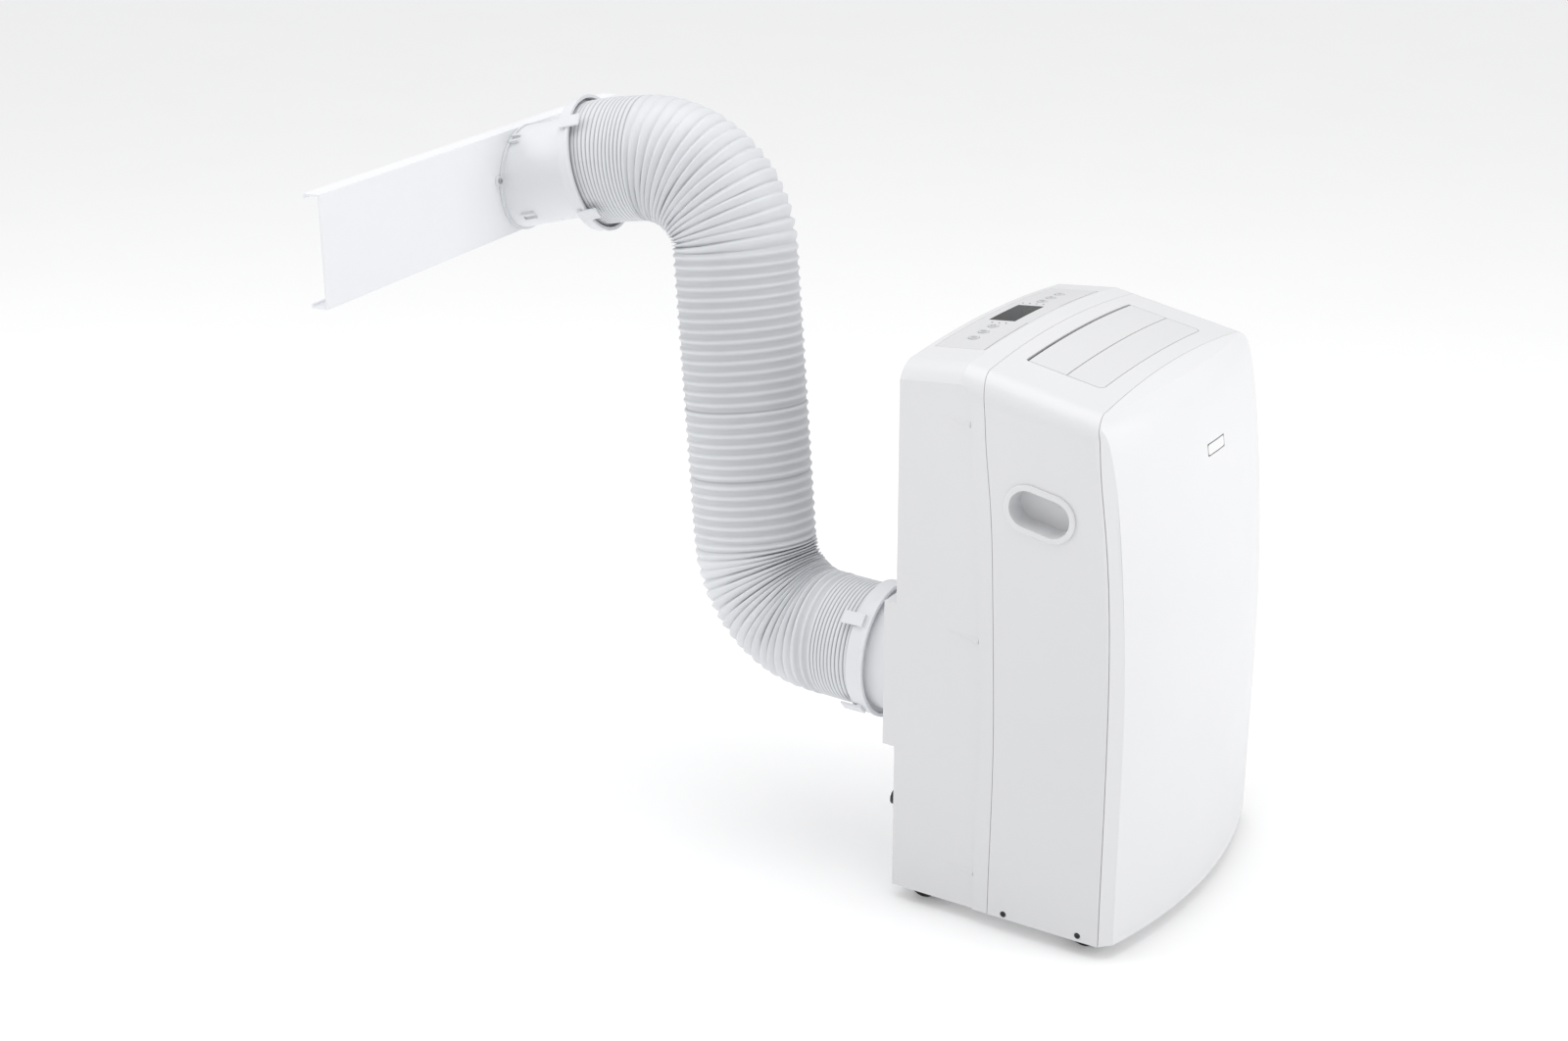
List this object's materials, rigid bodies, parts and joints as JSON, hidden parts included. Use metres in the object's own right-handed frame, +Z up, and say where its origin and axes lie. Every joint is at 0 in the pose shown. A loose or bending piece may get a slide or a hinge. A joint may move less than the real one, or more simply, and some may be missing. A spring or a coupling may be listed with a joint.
{
  "type": "portable air conditioner",
  "caption": "Floor-standing cooling unit on casters with a top louver, control panel, side grips and a bent exhaust hose ending in a flanged window panel.",
  "frame": {"origin": "on the floor under the middle of the cabinet, midway between its sides and on the plane through the side grips", "axes": "+Z up, -Y out of the front, +X to the right of a person facing the front"},
  "size_m": [0.7779, 0.9657, 0.9184],
  "materials": {
    "black_plastic": "moulded nylon",
    "board_green": "circuit board",
    "body_white": "satin moulded ABS",
    "bright_steel": "zinc plated",
    "compressor_black": "baked enamel",
    "copper": "drawn tube",
    "dark_steel": "black oxide",
    "display_dark": "smoked acrylic",
    "duct_plastic": "moulded plastic",
    "fin_aluminium": "pressed fins",
    "galvanised": "galvanised sheet",
    "hose_plastic": "pleated polypropylene",
    "inner_white": "moulded polystyrene",
    "key_grey": "soft-touch plastic",
    "panel_grey": "fine-textured film",
    "receiver_clear": "smoked lens",
    "rubber_black": "moulded rubber",
    "wheel_rubber": "solid tyre"
  },
  "bodies": {
    "cabinet": {"base_pan": "body_white", "blower_housing": "inner_white", "blower_motor": "galvanised", "cabinet_screws": "dark_steel", "compressor": "compressor_black", "compressor_grommets": "rubber_black", "condenser_coil": "fin_aluminium", "control_board": "board_green", "control_overlay": "panel_grey", "cord_gland": "black_plastic", "cord_hooks": "body_white", "display_window": "display_dark", "electrics_case": "inner_white", "evaporator_coil": "fin_aluminium", "exhaust_adaptor": "duct_plastic", "exhaust_hose": "hose_plastic", "exhaust_housing": "inner_white", "exhaust_motor": "galvanised", "front_panel": "body_white", "handle_left": "body_white", "handle_right": "body_white", "middle_shell": "body_white", "middle_tray": "inner_white", "outlet_duct": "inner_white", "rear_shell": "body_white", "receiver_window": "receiver_clear", "refrigerant_pipes": "copper", "unit_connector": "duct_plastic", "vane_motor": "inner_white", "window_connector": "duct_plastic", "window_panel": "duct_plastic", "window_screws": "bright_steel"},
    "vane_rear": {"vane_rear": "body_white"},
    "vane_front": {"vane_front": "body_white"},
    "vane_link": {"vane_link": "inner_white"},
    "deflector_bar": {"deflector_bar": "inner_white"},
    "filter_grille": {"filter_grille": "body_white"},
    "drain_cap_upper": {"drain_cap_upper": "body_white"},
    "drain_cap_lower": {"drain_cap_lower": "body_white"},
    "blower_wheel": {"blower_wheel": "black_plastic"},
    "exhaust_wheel": {"exhaust_wheel": "black_plastic"},
    "key_power": {"key_power": "key_grey"},
    "key_timer": {"key_timer": "key_grey"},
    "key_mode": {"key_mode": "key_grey"},
    "key_fan_speed": {"key_fan_speed": "key_grey"},
    "key_cooler": {"key_cooler": "key_grey"},
    "key_warmer": {"key_warmer": "key_grey"},
    "deflector_fin_1": {"deflector_fin_1": "inner_white"},
    "deflector_fin_2": {"deflector_fin_2": "inner_white"},
    "deflector_fin_3": {"deflector_fin_3": "inner_white"},
    "deflector_fin_4": {"deflector_fin_4": "inner_white"},
    "caster_fork_front_left": {"caster_fork_front_left": "black_plastic"},
    "caster_wheel_front_left": {"caster_wheel_front_left": "wheel_rubber"},
    "caster_fork_rear_left": {"caster_fork_rear_left": "black_plastic"},
    "caster_wheel_rear_left": {"caster_wheel_rear_left": "wheel_rubber"},
    "caster_fork_front_right": {"caster_fork_front_right": "black_plastic"},
    "caster_wheel_front_right": {"caster_wheel_front_right": "wheel_rubber"},
    "caster_fork_rear_right": {"caster_fork_rear_right": "black_plastic"},
    "caster_wheel_rear_right": {"caster_wheel_rear_right": "wheel_rubber"}
  },
  "joints": [
    {"name": "louver_swing", "type": "hinge", "parent": "cabinet", "child": "vane_rear", "pos_m": [0, 0.014, 0.668], "axis": [-1, 0, 0], "range_deg": [0, 70]},
    {"name": "front_vane_swing", "type": "hinge", "parent": "cabinet", "child": "vane_front", "pos_m": [0, -0.0297, 0.659], "axis": [-1, 0, 0], "range_deg": [0, 70]},
    {"name": "vane_link_turn", "type": "hinge", "parent": "vane_rear", "child": "vane_link", "pos_m": [-0.1401, 0.02267, 0.66123], "axis": [-1, 0, 0], "range_deg": [-70, 0]},
    {"name": "deflector_swing", "type": "hinge", "parent": "cabinet", "child": "deflector_fin_1", "pos_m": [-0.105, -0.005, 0.613], "axis": [0, 0, 1], "range_deg": [-30, 30]},
    {"name": "deflector_swing_2", "type": "hinge", "parent": "cabinet", "child": "deflector_fin_2", "pos_m": [-0.035, -0.005, 0.613], "axis": [0, 0, 1], "range_deg": [-30, 30]},
    {"name": "deflector_swing_3", "type": "hinge", "parent": "cabinet", "child": "deflector_fin_3", "pos_m": [0.035, -0.005, 0.613], "axis": [0, 0, 1], "range_deg": [-30, 30]},
    {"name": "deflector_swing_4", "type": "hinge", "parent": "cabinet", "child": "deflector_fin_4", "pos_m": [0.105, -0.005, 0.613], "axis": [0, 0, 1], "range_deg": [-30, 30]},
    {"name": "deflector_bar_turn", "type": "hinge", "parent": "deflector_fin_1", "child": "deflector_bar", "pos_m": [-0.105, 0.017, 0.636], "axis": [0, 0, 1], "range_deg": [-30, 30]},
    {"name": "power_press", "type": "slide", "parent": "cabinet", "child": "key_power", "axis": [0, 0, -1], "range_m": [0, 0.0006], "stiffness_N_per_m": 500, "springref_m": -0.0008},
    {"name": "timer_press", "type": "slide", "parent": "cabinet", "child": "key_timer", "axis": [0, 0, -1], "range_m": [0, 0.0006], "stiffness_N_per_m": 500, "springref_m": -0.0008},
    {"name": "mode_press", "type": "slide", "parent": "cabinet", "child": "key_mode", "axis": [0, 0, -1], "range_m": [0, 0.0006], "stiffness_N_per_m": 500, "springref_m": -0.0008},
    {"name": "fan_speed_press", "type": "slide", "parent": "cabinet", "child": "key_fan_speed", "axis": [0, 0, -1], "range_m": [0, 0.0006], "stiffness_N_per_m": 500, "springref_m": -0.0008},
    {"name": "cooler_press", "type": "slide", "parent": "cabinet", "child": "key_cooler", "axis": [0, 0, -1], "range_m": [0, 0.0006], "stiffness_N_per_m": 500, "springref_m": -0.0008},
    {"name": "warmer_press", "type": "slide", "parent": "cabinet", "child": "key_warmer", "axis": [0, 0, -1], "range_m": [0, 0.0006], "stiffness_N_per_m": 500, "springref_m": -0.0008},
    {"name": "filter_pull", "type": "slide", "parent": "cabinet", "child": "filter_grille", "axis": [0, 1, 0], "range_m": [0, 0.06]},
    {"name": "upper_drain_pull", "type": "slide", "parent": "cabinet", "child": "drain_cap_upper", "axis": [0, 1, 0], "range_m": [0, 0.03]},
    {"name": "lower_drain_pull", "type": "slide", "parent": "cabinet", "child": "drain_cap_lower", "axis": [0, 1, 0], "range_m": [0, 0.03]},
    {"name": "blower_spin", "type": "hinge", "parent": "cabinet", "child": "blower_wheel", "pos_m": [0, 0, 0.487], "axis": [0, 1, 0], "continuous": true},
    {"name": "exhaust_fan_spin", "type": "hinge", "parent": "cabinet", "child": "exhaust_wheel", "pos_m": [-0.125, 0.104, 0.2845], "axis": [0, 1, 0], "continuous": true},
    {"name": "swivel_front_left", "type": "hinge", "parent": "cabinet", "child": "caster_fork_front_left", "pos_m": [-0.1845, -0.088, 0.0434], "axis": [0, 0, 1], "continuous": true},
    {"name": "roll_front_left", "type": "hinge", "parent": "caster_fork_front_left", "child": "caster_wheel_front_left", "pos_m": [-0.1845, -0.0855, 0.019], "axis": [1, 0, 0], "continuous": true},
    {"name": "swivel_rear_left", "type": "hinge", "parent": "cabinet", "child": "caster_fork_rear_left", "pos_m": [-0.1845, 0.126, 0.0434], "axis": [0, 0, 1], "continuous": true},
    {"name": "roll_rear_left", "type": "hinge", "parent": "caster_fork_rear_left", "child": "caster_wheel_rear_left", "pos_m": [-0.1845, 0.1285, 0.019], "axis": [1, 0, 0], "continuous": true},
    {"name": "swivel_front_right", "type": "hinge", "parent": "cabinet", "child": "caster_fork_front_right", "pos_m": [0.1845, -0.088, 0.0434], "axis": [0, 0, 1], "continuous": true},
    {"name": "roll_front_right", "type": "hinge", "parent": "caster_fork_front_right", "child": "caster_wheel_front_right", "pos_m": [0.1845, -0.0855, 0.019], "axis": [1, 0, 0], "continuous": true},
    {"name": "swivel_rear_right", "type": "hinge", "parent": "cabinet", "child": "caster_fork_rear_right", "pos_m": [0.1845, 0.126, 0.0434], "axis": [0, 0, 1], "continuous": true},
    {"name": "roll_rear_right", "type": "hinge", "parent": "caster_fork_rear_right", "child": "caster_wheel_rear_right", "pos_m": [0.1845, 0.1285, 0.019], "axis": [1, 0, 0], "continuous": true}
  ],
  "couplings": [
    {"joint": "front_vane_swing", "follows": "louver_swing", "ratio": 1},
    {"joint": "vane_link_turn", "follows": "louver_swing", "ratio": -1},
    {"joint": "deflector_swing_2", "follows": "deflector_swing", "ratio": 1},
    {"joint": "deflector_swing_3", "follows": "deflector_swing", "ratio": 1},
    {"joint": "deflector_swing_4", "follows": "deflector_swing", "ratio": 1},
    {"joint": "deflector_bar_turn", "follows": "deflector_swing", "ratio": -1}
  ]
}
